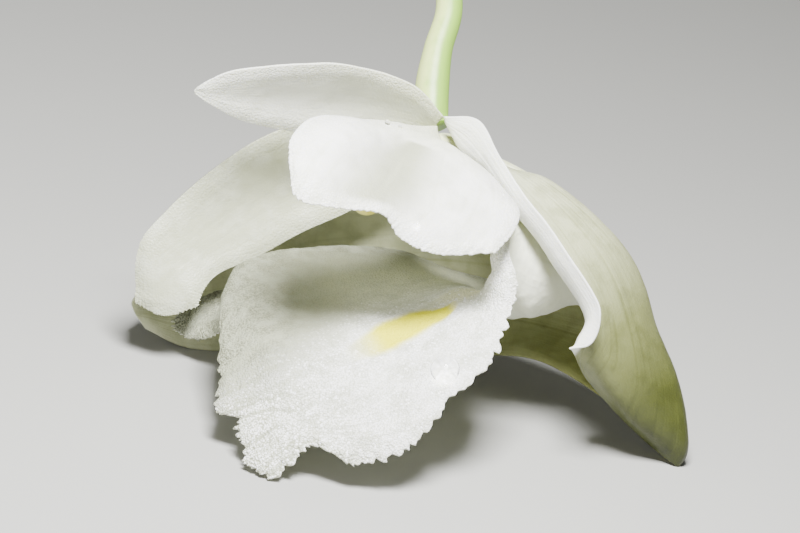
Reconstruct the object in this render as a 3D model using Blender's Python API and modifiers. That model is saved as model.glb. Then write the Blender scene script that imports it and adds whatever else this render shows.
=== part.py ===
"""One picked bloom of Dendrobium arcuatum, resting on a table on its lip, its spur and its right lateral sepal.

Every blade is set out in the bloom's own frame, in millimetres from the top of the ovary: x runs to the spur,
y runs up to the stalk, z runs to the flower's left side. The whole bloom is then laid on the table.
"""

import math

import bmesh
import bpy
import numpy as np
from mathutils import Matrix, Vector

MM = 0.001
BLADE_MM = 0.7
LIP_MM = 0.75
SPUR_MM = 0.7
PRESSED_MM = 0.2
CUTTER_MM = 200.0

# The cut margin of a blade: which sides are cut (0 and 2 are the long margins, 1 is the end), the share of the
# length where the teeth start, how deep they are and over what share they grow in. A nick is a side, the share
# along it, its half width as a share, and how far it stands out as a share of the blade, or in where negative.
PETAL_CUT = {"sides": (0, 1, 2), "from": 0.78, "deep": 0.18, "nicks": ()}
LIP_CUT = {
    "sides": (1, 2), "from": 0.36, "deep": 0.42,
    "nicks": ((2, 0.672, 0.024, -0.045), (2, 0.80, 0.03, -0.012), (2, 0.92, 0.03, -0.03), (1, 0.58, 0.05, 0.012),
              (1, 0.66, 0.06, -0.024), (1, 0.47, 0.06, -0.012), (1, 0.80, 0.05, -0.01)),
}
NICKS_FADE = 6
TEETH_GROW_OVER = 0.12
MARGIN_STRIP = 0.35

# Each blade is a list of rows from its base to its end, and each row runs from one margin to the other.
DORSAL_SEPAL = (
    ((-1.2, -0.5, -0.6), (-0.8, 0.4, 0.9), (-0.1, 0.9, 2.0)),
    ((-4.5, -1.1, 0.0), (-4.0, 1.7, 2.0), (-3.3, 4.1, 4.6)),
    ((-10.5, -1.2, 2.0), (-10.0, 2.7, 4.2), (-9.5, 5.9, 8.2)),
    ((-16.5, -0.4, 5.0), (-15.7, 2.9, 7.0), (-14.9, 5.9, 10.6)),
    ((-20.5, 0.5, 7.8), (-20.5, 2.9, 9.4), (-20.5, 5.3, 12.2)),
    ((-23.4, 2.0, 10.6), (-23.9, 3.1, 11.2), (-23.3, 4.3, 12.2)),
    ((-24.7, 2.9, 11.6), (-24.9, 3.2, 11.7), (-24.6, 3.6, 11.9)),
)
RIGHT_PETAL = (
    ((-0.9, -1.9, -2.1), (-0.6, -2.7, -2.3), (-0.3, -3.5, -2.0)),
    ((-6.0, 0.3, -2.0), (-5.7, -3.0, -4.5), (-5.0, -6.0, -4.0)),
    ((-12.0, 0.5, -1.0), (-11.0, -4.0, -4.4), (-10.0, -8.7, -4.4)),
    ((-17.5, -0.7, 0.0), (-16.5, -6.0, -3.2), (-14.5, -10.7, -3.8)),
    ((-23.3, -4.3, 1.0), (-21.7, -9.0, -1.4), (-19.0, -13.2, -2.4)),
    ((-28.0, -8.5, 1.5), (-25.7, -12.0, 0.4), (-22.7, -14.8, -0.5)),
    ((-30.8, -12.1, 1.5), (-28.5, -14.5, 1.4), (-24.3, -16.5, 0.8)),
    ((-31.2, -17.8, 0.8), (-28.3, -19.1, 1.2), (-24.9, -18.2, 1.0)),
)
LEFT_PETAL = (
    ((-0.8, 0.0, 2.3), (-0.9, -0.7, 2.6), (-0.8, -1.2, 2.8), (-0.6, -1.7, 2.9),
     (-0.4, -2.0, 2.9), (-0.2, -2.3, 2.8), (0.0, -2.6, 2.6)),
    ((-3.1, -0.1, 6.3), (-2.5, -1.0, 7.0), (-1.9, -1.6, 7.1), (-1.0, -1.9, 7.6),
     (0.1, -2.3, 8.0), (1.2, -2.8, 7.8), (2.0, -3.5, 7.2)),
    ((-8.3, 0.5, 12.0), (-6.7, -0.8, 13.0), (-5.0, -2.0, 11.5), (-3.0, -2.8, 11.0),
     (0.0, -3.8, 12.0), (3.0, -4.8, 11.0), (5.5, -6.1, 9.2)),
    ((-12.7, 0.6, 17.0), (-10.0, -1.7, 18.0), (-7.0, -3.5, 15.8), (-4.0, -4.7, 14.5),
     (-0.5, -6.0, 15.0), (3.5, -7.5, 14.0), (7.2, -8.7, 12.2)),
    ((-15.1, -1.5, 20.0), (-12.5, -4.0, 21.0), (-9.0, -5.7, 19.5), (-5.0, -7.0, 17.5),
     (-1.5, -9.0, 17.0), (2.0, -10.3, 16.0), (6.7, -10.7, 14.0)),
    ((-15.3, -4.0, 22.0), (-14.5, -7.5, 23.0), (-10.5, -8.4, 22.0), (-6.3, -9.0, 20.0),
     (-4.5, -11.3, 19.0), (-1.1, -12.9, 18.0), (4.9, -12.8, 16.0)),
)
LEFT_LATERAL_SEPAL = (
    ((-0.1, 0.9, 3.1), (0.5, 0.2, 2.4), (1.6, 0.1, 1.8), (2.4, 0.0, 1.0), (2.8, -0.2, 0.1), (2.8, -0.4, -0.7)),
    ((3.3, 0.5, 5.2), (1.9, -2.4, 3.3), (3.7, -2.9, 2.7), (4.7, -3.4, 1.7), (5.4, -4.0, 0.4), (5.3, -4.2, -0.7)),
    ((5.5, -3.3, 8.2), (4.1, -4.4, 5.9), (6.5, -5.5, 4.6), (8.8, -5.9, 3.4), (10.2, -5.6, 1.5), (10.1, -5.9, -0.6)),
    ((7.9, -7.1, 10.0), (6.7, -8.0, 7.9), (10.0, -9.2, 6.5), (13.2, -9.8, 5.0), (15.3, -9.6, 1.9), (15.0, -10.0, -0.6)),
    ((10.5, -10.5, 11.0), (9.3, -11.3, 8.8), (12.7, -12.8, 7.5), (16.3, -14.0, 5.8), (19.0, -14.3, 2.1),
     (18.6, -14.6, -0.6)),
    ((13.9, -15.7, 12.0), (12.2, -15.6, 9.5), (15.2, -17.5, 8.0), (18.6, -20.0, 5.8), (21.1, -20.5, 2.1),
     (20.7, -20.7, -0.6)),
    ((15.3, -18.7, 12.4), (14.2, -19.3, 10.3), (15.8, -21.7, 8.0), (19.8, -25.8, 5.2), (23.3, -26.3, 1.9),
     (22.9, -26.5, -0.6)),
    ((14.5, -21.7, 12.0), (13.4, -21.6, 10.6), (14.8, -23.7, 8.0), (19.2, -29.4, 4.0), (24.0, -31.5, 1.7),
     (23.7, -31.7, -0.6)),
    ((12.3, -22.3, 11.4), (12.8, -22.8, 10.2), (14.3, -25.5, 3.6), (19.0, -30.6, 0.6), (23.2, -34.1, 0.8),
     (23.8, -33.8, -0.5)),
)
RIGHT_LATERAL_SEPAL = (
    ((2.0, -1.8, -2.0), (10.0, -6.1, -1.3), (18.4, -14.6, -1.2), (22.7, -26.4, -1.2), (23.5, -33.7, -1.3)),
    ((-0.3, -1.9, -4.1), (8.5, -7.5, -5.2), (15.5, -16.5, -7.0), (19.4, -25.0, -5.6), (20.7, -32.1, -1.7)),
    ((-4.5, -3.2, -6.2), (2.5, -9.5, -9.2), (10.0, -16.5, -10.2), (13.7, -22.0, -8.6), (15.7, -27.2, -2.0)),
    ((-9.5, -4.6, -8.0), (-4.5, -9.5, -10.6), (1.5, -15.5, -11.6), (4.5, -20.0, -10.6), (7.5, -23.3, -7.4)),
    ((-16.5, -6.6, -8.6), (-13.5, -10.5, -10.6), (-10.5, -15.5, -11.2), (-8.5, -20.0, -10.2), (-6.5, -24.1, -8.0)),
    ((-24.0, -11.0, -8.0), (-22.5, -13.7, -9.0), (-21.0, -17.0, -9.0), (-19.5, -20.0, -8.6), (-18.3, -22.9, -7.5)),
    ((-29.5, -14.5, -6.5), (-28.7, -16.0, -7.0), (-27.9, -18.0, -7.0), (-26.9, -20.3, -6.5), (-25.9, -22.5, -6.0)),
    ((-31.6, -17.4, -5.0), (-31.8, -17.9, -5.0), (-31.7, -18.4, -5.0), (-31.3, -19.2, -5.0), (-30.4, -20.5, -5.0)),
)
LIP = (
    ((16.1, -19.3, -4.5), (16.4, -20.1, -4.6), (16.7, -20.9, -4.0), (16.9, -21.7, -2.5), (17.1, -22.1, -0.5),
     (17.1, -21.7, 1.5), (16.8, -20.7, 2.8), (16.4, -19.5, 3.2)),
    ((12.7, -15.3, -5.0), (13.0, -16.1, -5.2), (13.3, -16.9, -4.8), (13.6, -17.5, -3.0), (13.8, -17.8, 0.0),
     (13.7, -17.4, 3.0), (13.2, -15.7, 4.9), (12.8, -13.7, 4.7)),
    ((9.0, -15.7, -6.5), (9.3, -16.3, -6.8), (9.6, -17.1, -6.2), (9.9, -18.1, -3.5), (10.1, -18.6, 0.0),
     (10.0, -18.1, 4.0), (9.8, -14.8, 6.4), (9.8, -10.6, 5.5)),
    ((7.2, -16.1, -7.2), (7.3, -16.4, -7.5), (7.5, -16.8, -6.8), (8.0, -18.3, -3.5), (8.3, -18.9, 0.8),
     (8.2, -18.2, 5.2), (7.3, -13.7, 7.9), (7.6, -9.3, 6.4)),
    ((5.3, -16.5, -8.0), (5.3, -16.3, -8.2), (5.3, -16.1, -7.2), (5.9, -18.1, -3.5), (6.5, -18.9, 1.5),
     (5.6, -15.5, 8.5), (4.9, -12.8, 10.3), (6.3, -12.3, 11.3)),
    ((3.3, -16.3, -8.8), (3.1, -15.9, -9.0), (2.9, -15.4, -8.0), (4.0, -17.3, -2.6), (4.9, -18.1, 4.5),
     (4.7, -15.3, 10.4), (5.8, -15.3, 12.0), (7.1, -15.9, 12.5)),
    ((0.7, -16.5, -9.0), (0.5, -15.7, -9.3), (0.3, -14.6, -8.0), (1.5, -16.2, -1.0), (2.2, -16.6, 6.5),
     (3.5, -17.7, 10.0), (4.9, -18.6, 12.4), (6.3, -19.0, 13.5)),
    ((-3.5, -15.5, -9.0), (-4.0, -14.3, -9.5), (-4.5, -12.9, -8.0), (-2.0, -16.5, 0.5), (-0.9, -18.1, 8.0),
     (1.0, -20.0, 12.0), (3.0, -22.0, 15.0), (4.5, -23.3, 16.5)),
    ((-10.0, -15.5, -8.6), (-10.5, -14.1, -8.6), (-11.0, -12.5, -5.6), (-7.3, -17.5, 3.0), (-5.3, -20.3, 11.0),
     (-3.0, -23.2, 15.0), (-0.8, -25.7, 18.5), (0.7, -27.2, 20.0)),
    ((-22.3, -16.4, -5.6), (-16.0, -16.4, -6.6), (-16.6, -12.9, -1.2), (-11.5, -18.5, 6.5), (-9.3, -22.5, 14.5),
     (-7.0, -26.8, 18.5), (-5.0, -30.0, 21.0), (-3.7, -31.8, 22.0)),
    ((-27.2, -19.3, -3.6), (-19.5, -17.5, -4.0), (-20.5, -14.3, 2.0), (-17.5, -20.0, 11.0), (-15.5, -25.0, 17.5),
     (-12.6, -28.9, 20.0), (-10.6, -30.8, 21.3), (-8.7, -33.4, 22.5)),
    ((-26.7, -21.0, -2.6), (-20.9, -18.8, -1.5), (-21.8, -16.8, 5.0), (-20.2, -22.0, 12.7), (-18.9, -26.5, 17.5),
     (-16.7, -29.2, 19.7), (-15.0, -30.2, 21.0), (-12.8, -31.8, 22.4)),
    ((-24.5, -21.7, -1.0), (-21.7, -20.0, 2.0), (-22.3, -19.3, 8.0), (-22.4, -24.0, 14.0), (-22.3, -27.9, 17.5),
     (-20.5, -30.0, 19.5), (-19.7, -33.0, 21.5), (-17.0, -34.9, 23.0)),
)

# Points along a stalk: x, y, z and the radius there.
STALK = ((0.1, 17.0, -5.2, 1.3), (0.5, 12.0, -4.6, 1.35), (-0.6, 8.0, -3.9, 1.45), (-1.2, 4.4, -3.3, 1.7),
         (-1.3, 1.5, -2.5, 1.7), (-0.9, 0.0, -1.9, 1.45))
COLUMN = ((-6.8, -6.8, 7.5, 1.15), (-4.6, -5.2, 5.0, 1.25), (-1.8, -2.9, 1.9, 1.35), (0.4, -2.1, 0.0, 1.35),
          (3.6, -5.0, -0.5, 1.3), (9.2, -10.0, -0.8, 1.2), (15.2, -15.8, -1.0, 1.1), (20.0, -24.0, -1.1, 1.0))
ANTHER_CAP_AT = (-7.8, -7.7, 8.8)
ANTHER_CAP_MM = (1.5, 1.35, 1.25)

# What carries the bloom on the table: a node, and between which x its low point is looked for.
FEET = (("lip", -40.0, 0.0), ("lateral_sepal_right", 10.0, 40.0), ("lateral_sepal_right", -40.0, -10.0))
NEARLY_UP = (0.2, 0.9, 0.4)
LEVELLING_ROUNDS = 8


def clear_scene():
    for obj in list(bpy.data.objects):
        bpy.data.objects.remove(obj)


def new_collection(name):
    collection = bpy.data.collections.new(name)
    bpy.context.scene.collection.children.link(collection)
    return collection


def principled(name, rgb, roughness):
    material = bpy.data.materials.new(name)
    material.use_nodes = True
    shader = material.node_tree.nodes["Principled BSDF"]
    shader.inputs["Base Color"].default_value = (*rgb, 1.0)
    shader.inputs["Roughness"].default_value = roughness
    shader.inputs["Metallic"].default_value = 0.0
    material.diffuse_color = (*rgb, 1.0)
    return material


def through(points, t):
    """A point at share t of a smooth curve through evenly counted points."""
    last = len(points) - 1
    i = min(int(t * last), last - 1)
    f = t * last - i
    p1 = points[i]
    p2 = points[i + 1]
    p0 = points[i - 1] if i > 0 else 2 * p1 - p2
    p3 = points[i + 2] if i + 2 <= last else 2 * p2 - p1
    bend = (2 * p0 - 5 * p1 + 4 * p2 - p3) * f * f + (3 * p1 - p0 - 3 * p2 + p3) * f ** 3
    return 0.5 * (2 * p1 + (p2 - p0) * f + bend)


def on_blade(rows, u, v):
    """The point of a blade at share u of its length and share v of its width."""
    return through(np.array([through(row, v) for row in rows]), u)


def square_loop(count_u, count_v, inset_u, inset_v, parts):
    """Places in length and width round a blade's edge, each step of the grid cut into equal parts."""
    corners = ((inset_u, inset_v), (1 - inset_u, inset_v), (1 - inset_u, 1 - inset_v), (inset_u, 1 - inset_v))
    steps = (count_u, count_v, count_u, count_v)
    places = []
    for side in range(4):
        start = corners[side]
        end = corners[(side + 1) % 4]
        total = steps[side] * parts
        for k in range(total):
            f = k / total
            places.append((start[0] + (end[0] - start[0]) * f, start[1] + (end[1] - start[1]) * f, side))
    return places


def uneven(k):
    """A number from 0 to 1 that differs from tooth to tooth."""
    return (math.sin(12.9898 * (k + 1)) * 43758.5453) % 1.0


def tooth(place, k, cut):
    """How far the margin stands out at one point of the edge."""
    u, v, side = place
    if not cut or side not in cut["sides"] or u < cut["from"]:
        return 0.0
    ease = min(1.0, (u - cut["from"]) / TEETH_GROW_OVER)
    height = 0.35 + 0.65 * uneven(k) if k % 2 else -0.15 - 0.6 * uneven(k)
    return height * cut["deep"] * ease


def nicked(u, v, cut):
    """Where a place of the blade moves to, so that its end and its last margin have their nicks."""
    out = {1: 0.0, 2: 0.0}
    for side, at, half, share in cut["nicks"] if cut else ():
        out[side] += share * max(0.0, 1 - abs((v if side == 1 else u) - at) / half)
    return u + out[1] * u ** NICKS_FADE, v + out[2] * v ** NICKS_FADE


def blade_mesh(name, rows, count_u, count_v, cut=None):
    """An open triangulated blade: an inner grid, then a finer cut margin joined to it all round."""
    rows = [np.array(row, float) for row in rows]
    inset_u = MARGIN_STRIP / count_u
    inset_v = MARGIN_STRIP / count_v
    mesh = bmesh.new()
    grid = []
    for i in range(count_u + 1):
        u = inset_u + (1 - 2 * inset_u) * i / count_u
        grid.append([])
        for j in range(count_v + 1):
            v = inset_v + (1 - 2 * inset_v) * j / count_v
            grid[i].append(mesh.verts.new(Vector(on_blade(rows, *nicked(u, v, cut))) * MM))
    for i in range(count_u):
        for j in range(count_v):
            a, b, c, d = grid[i][j], grid[i + 1][j], grid[i + 1][j + 1], grid[i][j + 1]
            halves = ((a, b, c), (a, c, d)) if (i + j) % 2 else ((a, b, d), (b, c, d))
            for half in halves:
                mesh.faces.new(half)
    inner = [grid[i][0] for i in range(count_u)]
    inner += [grid[count_u][j] for j in range(count_v)]
    inner += [grid[i][count_v] for i in range(count_u, 0, -1)]
    inner += [grid[0][j] for j in range(count_v, 0, -1)]
    outer = []
    for k, place in enumerate(square_loop(count_u, count_v, 0.0, 0.0, 2)):
        u, v, _ = place
        edge = on_blade(rows, *nicked(u, v, cut))
        inside = nicked(inset_u + u * (1 - 2 * inset_u), inset_v + v * (1 - 2 * inset_v), cut)
        towards = on_blade(rows, *inside)
        outward = edge - towards
        outward = outward / max(np.linalg.norm(outward), 1e-6)
        outer.append(mesh.verts.new(Vector(edge + outward * tooth(place, k, cut)) * MM))
    for k, here in enumerate(inner):
        nearby = inner[(k + 1) % len(inner)]
        first = outer[2 * k]
        middle = outer[2 * k + 1]
        last = outer[(2 * k + 2) % len(outer)]
        for corners in ((here, first, middle), (here, middle, nearby), (nearby, middle, last)):
            mesh.faces.new(corners)
    bmesh.ops.recalc_face_normals(mesh, faces=mesh.faces)
    for face in mesh.faces:
        face.smooth = True
    data = bpy.data.meshes.new(name)
    mesh.to_mesh(data)
    mesh.free()
    return data


def add_blade(name, rows, count_u, count_v, thick_mm, material, parent, parts, cut=None):
    blade = bpy.data.objects.new(name, blade_mesh(name, rows, count_u, count_v, cut))
    blade.data.materials.append(material)
    parts.objects.link(blade)
    blade.parent = parent
    shell = blade.modifiers.new("thickness", "SOLIDIFY")
    shell.thickness = thick_mm * MM
    shell.offset = 0.0
    return blade


def add_stalk(name, points, material, parent, parts):
    """A round stalk that tapers from point to point, closed at both ends."""
    curve = bpy.data.curves.new(name, "CURVE")
    curve.dimensions = "3D"
    curve.bevel_depth = MM
    curve.bevel_resolution = 4
    curve.resolution_u = 4
    curve.use_fill_caps = True
    curve.materials.append(material)
    spline = curve.splines.new("BEZIER")
    spline.bezier_points.add(len(points) - 1)
    for knot, (x, y, z, radius) in zip(spline.bezier_points, points):
        knot.co = Vector((x, y, z)) * MM
        knot.radius = radius
        knot.handle_left_type = "AUTO"
        knot.handle_right_type = "AUTO"
    spline.use_smooth = True
    stalk = bpy.data.objects.new(name, curve)
    parts.objects.link(stalk)
    stalk.parent = parent
    return stalk


def add_anther_cap(material, parent, parts):
    mesh = bmesh.new()
    bmesh.ops.create_uvsphere(mesh, u_segments=16, v_segments=10, radius=MM)
    data = bpy.data.meshes.new("anther_cap")
    for face in mesh.faces:
        face.smooth = True
    mesh.to_mesh(data)
    mesh.free()
    data.materials.append(material)
    cap = bpy.data.objects.new("anther_cap", data)
    cap.location = Vector(ANTHER_CAP_AT) * MM
    cap.scale = ANTHER_CAP_MM
    parts.objects.link(cap)
    cap.parent = parent
    return cap


def world_points(obj):
    graph = bpy.context.evaluated_depsgraph_get()
    evaluated = obj.evaluated_get(graph)
    mesh = evaluated.to_mesh()
    points = np.array([obj.matrix_world @ vertex.co for vertex in mesh.vertices])
    evaluated.to_mesh_clear()
    return points


def turned_to_table(up):
    """The turn that stands the bloom's frame on the table, with the spur still toward +X."""
    up = Vector(up).normalized()
    across = (Vector((1, 0, 0)) - up * up.x).normalized()
    return Matrix((across, up.cross(across), up)).to_4x4()


def lay_on_table(bloom, nodes):
    """Turns the bloom until its three feet are level, then centres it over the origin."""
    bpy.context.view_layer.update()
    feet = []
    for name, least_x, most_x in FEET:
        points = world_points(nodes[name])
        feet.append(points[(points[:, 0] > least_x * MM) & (points[:, 0] < most_x * MM)])
    up = np.array(NEARLY_UP)
    for _ in range(LEVELLING_ROUNDS):
        low = [points[np.argmin(points @ up)] for points in feet]
        up = np.cross(low[1] - low[0], low[2] - low[0])
        up = up * np.sign(up[1]) / np.linalg.norm(up)
    turn = turned_to_table(up)
    bloom.matrix_world = turn
    bpy.context.view_layer.update()
    points = np.concatenate([world_points(node) for node in nodes.values()])
    low = points.min(axis=0)
    high = points.max(axis=0)
    middle = (low + high) / 2
    bloom.matrix_world = Matrix.Translation((-middle[0], -middle[1], -low[2] - PRESSED_MM * MM)) @ turn
    bpy.context.view_layer.update()


def press_flat(nodes, cutters):
    """Planes off the little that would sink into the table, so that each foot is flat."""
    mesh = bmesh.new()
    bmesh.ops.create_cube(mesh, size=CUTTER_MM * MM)
    data = bpy.data.meshes.new("table_cutter")
    mesh.to_mesh(data)
    mesh.free()
    table = bpy.data.objects.new("table_cutter", data)
    table.location = (0, 0, -CUTTER_MM / 2 * MM)
    table.hide_render = True
    table.hide_viewport = True
    cutters.objects.link(table)
    for name in sorted({foot[0] for foot in FEET}):
        cut = nodes[name].modifiers.new("pressed", "BOOLEAN")
        cut.object = table
        cut.operation = "DIFFERENCE"


def main():
    clear_scene()
    parts = new_collection("dendrobium_arcuatum")
    cutters = new_collection("cutters")
    bloom = bpy.data.objects.new("bloom", None)
    parts.objects.link(bloom)
    white = principled("petal_white", (0.84, 0.85, 0.76), 0.5)
    sepal = principled("sepal_cream", (0.80, 0.82, 0.66), 0.5)
    lip_white = principled("lip_white", (0.86, 0.86, 0.80), 0.6)
    green = principled("stalk_green", (0.55, 0.70, 0.30), 0.45)
    column = principled("column_cream", (0.78, 0.80, 0.55), 0.45)
    yellow = principled("anther_yellow", (0.85, 0.72, 0.25), 0.4)
    made = [
        add_stalk("pedicel_ovary", STALK, green, bloom, parts),
        add_stalk("column_foot", COLUMN, column, bloom, parts),
        add_anther_cap(yellow, bloom, parts),
        add_blade("dorsal_sepal", DORSAL_SEPAL, 18, 8, BLADE_MM, sepal, bloom, parts),
        add_blade("petal_right", RIGHT_PETAL, 28, 16, BLADE_MM, white, bloom, parts, PETAL_CUT),
        add_blade("petal_left", LEFT_PETAL, 22, 26, BLADE_MM, white, bloom, parts, PETAL_CUT),
        add_blade("lateral_sepal_left", LEFT_LATERAL_SEPAL, 24, 15, SPUR_MM, sepal, bloom, parts),
        add_blade("lateral_sepal_right", RIGHT_LATERAL_SEPAL, 24, 12, SPUR_MM, sepal, bloom, parts),
        add_blade("lip", LIP, 40, 26, LIP_MM, lip_white, bloom, parts, LIP_CUT),
    ]
    nodes = {node.name: node for node in made}
    lay_on_table(bloom, nodes)
    press_flat(nodes, cutters)


main()
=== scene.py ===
# %% [markdown]
# A picked orchid bloom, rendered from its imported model.
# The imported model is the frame: its nodes carry the bloom in the physics and stay where they are. Every blade is
# built again here with a finer mesh, because a petal's thin edge, its fine teeth and its soft waves need more
# faces than the solids carry.

import bmesh
import bpy
import numpy as np
from mathutils import Matrix, Vector, noise


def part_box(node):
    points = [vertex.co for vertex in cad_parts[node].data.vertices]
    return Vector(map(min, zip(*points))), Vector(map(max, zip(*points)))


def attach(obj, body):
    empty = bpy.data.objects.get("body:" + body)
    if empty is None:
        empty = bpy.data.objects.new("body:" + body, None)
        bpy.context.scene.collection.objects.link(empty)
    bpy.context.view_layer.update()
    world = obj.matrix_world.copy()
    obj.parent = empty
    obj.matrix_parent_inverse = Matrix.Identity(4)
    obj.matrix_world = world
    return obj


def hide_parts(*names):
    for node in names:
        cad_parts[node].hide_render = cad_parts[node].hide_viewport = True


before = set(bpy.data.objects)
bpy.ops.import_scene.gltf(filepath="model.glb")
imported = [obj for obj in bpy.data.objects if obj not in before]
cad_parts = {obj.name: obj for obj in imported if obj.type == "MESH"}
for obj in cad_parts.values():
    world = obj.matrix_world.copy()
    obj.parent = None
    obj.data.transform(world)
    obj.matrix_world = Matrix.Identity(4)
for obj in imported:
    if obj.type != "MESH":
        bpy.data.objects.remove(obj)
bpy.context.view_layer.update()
MM = 0.001
print("nodes:", sorted(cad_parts))

# %% [markdown]
# The bloom's own frame is easier to think in than the table's: x runs to the spur, y up to the stalk and z to the
# flower's left side, in millimetres from the top of the ovary. Three feet decide how it leans on the table, so the
# direction that is up is known, and the anther cap's centre tells where the frame sits. One matrix does the rest.

# %% Stand the bloom's frame on the table
TABLE_UP = Vector((0.172793, 0.922065, 0.346321))
ANTHER_CAP_AT = Vector((-7.8, -7.7, 8.8))
across = (Vector((1, 0, 0)) - TABLE_UP * TABLE_UP.x).normalized()
TURN = Matrix((across, TABLE_UP.cross(across), TABLE_UP))
cap_low, cap_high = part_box("anther_cap")
SHIFT = (Vector(cap_low) + Vector(cap_high)) / 2 - TURN @ (ANTHER_CAP_AT * MM)


def on_table(points):
    """Points of the bloom's frame in millimetres, as metres on the table, with nothing below its top."""
    placed = np.asarray(points, float) @ (np.array(TURN).T * MM) + np.array(SHIFT)
    placed[..., 2] = np.maximum(placed[..., 2], 0.0)
    return placed


print("top of the ovary stands at mm:", [round(value / MM, 2) for value in SHIFT])

# %% [markdown]
# Colours are written as sRGB hex values, as a colour picker gives them, and one function turns them into the linear
# values that the shader counts in. One more function adds a node with its settings and its links, so that each
# material below reads as a list of what it is made of.

# %% Helpers for colours and nodes
def linear(code):
    """The linear red, green and blue, with alpha, of an sRGB hex colour."""
    shares = [int(code[i:i + 2], 16) / 255 for i in (1, 3, 5)]
    return tuple(s / 12.92 if s <= 0.04045 else ((s + 0.055) / 1.055) ** 2.4 for s in shares) + (1.0,)


def add(tree, kind, inputs=(), **settings):
    """A new node; inputs pairs a socket's name or number with a value or with the socket it is linked to."""
    made = tree.nodes.new(kind)
    for name, value in settings.items():
        setattr(made, name, value)
    for name, value in dict(inputs).items():
        if isinstance(value, bpy.types.NodeSocket):
            tree.links.new(value, made.inputs[name])
        else:
            made.inputs[name].default_value = value
    return made


def per_mm(size):
    """The scale that makes a pattern of object coordinates repeat about every size millimetres."""
    return 1 / (size * MM)


print("white petal in linear light:", [round(value, 3) for value in linear("#F4F4EE")])

# %% [markdown]
# Petal tissue is water-filled cells under a skin of tiny domes. Light goes in, scatters among the cells and comes
# out again, which is why a white petal glows and its shadows stay soft. A Principled shader with a little
# subsurface scattering does that; more of it would wash out the grain. Each blade below carries an attribute,
# place, that says how far along it (x), how far across it (y) and how many millimetres from its edge (z) a point
# lies. Veins run along a blade, so a noise stretched along x follows them wherever the blade bends. A marking is a
# wedge: a line with a set width at each of its bends. A second attribute, face, is 1 on the inner face and 0 on the
# outer one.

# %% What all petal materials share
SMOOTH = {"interpolation_type": "SMOOTHSTEP"}
COLOURS = {"data_type": "RGBA"}


def tissue(name, roughness, glow):
    """A new material with its tree, its shader and the two readings that each blade carries."""
    material = bpy.data.materials.new(name)
    material.use_nodes = True
    tree = material.node_tree
    shader = tree.nodes["Principled BSDF"]
    shader.inputs["Roughness"].default_value = roughness
    shader.inputs["IOR"].default_value = 1.42
    shader.inputs["Subsurface Weight"].default_value = glow
    shader.inputs["Subsurface Radius"].default_value = (1.0, 0.95, 0.6)
    shader.inputs["Subsurface Scale"].default_value = 0.6 * MM
    place = add(tree, "ShaderNodeAttribute", attribute_name="place")
    split = add(tree, "ShaderNodeSeparateXYZ", {"Vector": place.outputs["Vector"]})
    face = add(tree, "ShaderNodeAttribute", attribute_name="face")
    return material, tree, shader, split.outputs, face.outputs["Fac"]


def veins(tree, along, count, seed):
    """A value that is high on uneven fine lines running the length of a blade, about count of them across it."""
    across_it = add(tree, "ShaderNodeMath", {0: along["Y"], 1: count}, operation="MULTIPLY")
    lengthwise = add(tree, "ShaderNodeMath", {0: along["X"], 1: 2.5}, operation="MULTIPLY")
    stretched = add(tree, "ShaderNodeCombineXYZ", {
        "X": across_it.outputs[0], "Y": lengthwise.outputs[0], "Z": seed})
    return add(tree, "ShaderNodeTexNoise", {
        "Vector": stretched.outputs["Vector"], "Scale": 1.0, "Detail": 3.0}).outputs["Fac"]


def grain(tree, size_mm):
    """The skin's tiny domes: a cellular pattern of that size, and soft patches about ten times as broad."""
    where = add(tree, "ShaderNodeTexCoord").outputs["Object"]
    fine = add(tree, "ShaderNodeTexVoronoi", {"Vector": where, "Scale": per_mm(size_mm)})
    patches = add(tree, "ShaderNodeTexNoise", {"Vector": where, "Scale": per_mm(size_mm * 10), "Detail": 4.0})
    return where, fine, patches.outputs["Fac"]


def wedge(tree, along, bends, softness):
    """A share that is 1 along a bent line and fades at its sides; each bend is (along, across, half width)."""
    from_start, to_end = bends[0][0], bends[-1][0]
    step = add(tree, "ShaderNodeMapRange", {"Value": along["X"], "From Min": from_start, "From Max": to_end})
    readings = []
    for column in (1, 2):
        curve = add(tree, "ShaderNodeFloatCurve", {"Value": step.outputs[0]})
        points = curve.mapping.curves[0].points
        points[0].location = (0.0, bends[0][column])
        points[1].location = (1.0, bends[-1][column])
        for bend in bends[1:-1]:
            points.new((bend[0] - from_start) / (to_end - from_start), bend[column])
        curve.mapping.update()
        readings.append(curve.outputs[0])
    side = add(tree, "ShaderNodeMath", {0: along["Y"], 1: readings[0]}, operation="SUBTRACT")
    away = add(tree, "ShaderNodeMath", {0: side.outputs[0]}, operation="ABSOLUTE")
    share = add(tree, "ShaderNodeMath", {0: away.outputs[0], 1: readings[1]}, operation="DIVIDE")
    inside = add(tree, "ShaderNodeMapRange", {
        "Value": share.outputs[0], "From Min": 1 + softness, "From Max": 1 - softness}, **SMOOTH)
    begun = add(tree, "ShaderNodeMapRange", {
        "Value": along["X"], "From Min": from_start - 0.01, "From Max": from_start + 0.03}, **SMOOTH)
    ended = add(tree, "ShaderNodeMapRange", {
        "Value": along["X"], "From Min": to_end + 0.01, "From Max": to_end - 0.07}, **SMOOTH)
    both = add(tree, "ShaderNodeMath", {0: inside.outputs[0], 1: begun.outputs[0]}, operation="MULTIPLY")
    return add(tree, "ShaderNodeMath", {0: both.outputs[0], 1: ended.outputs[0]}, operation="MULTIPLY").outputs[0]


print("shared parts of the petal materials are ready")
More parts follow.
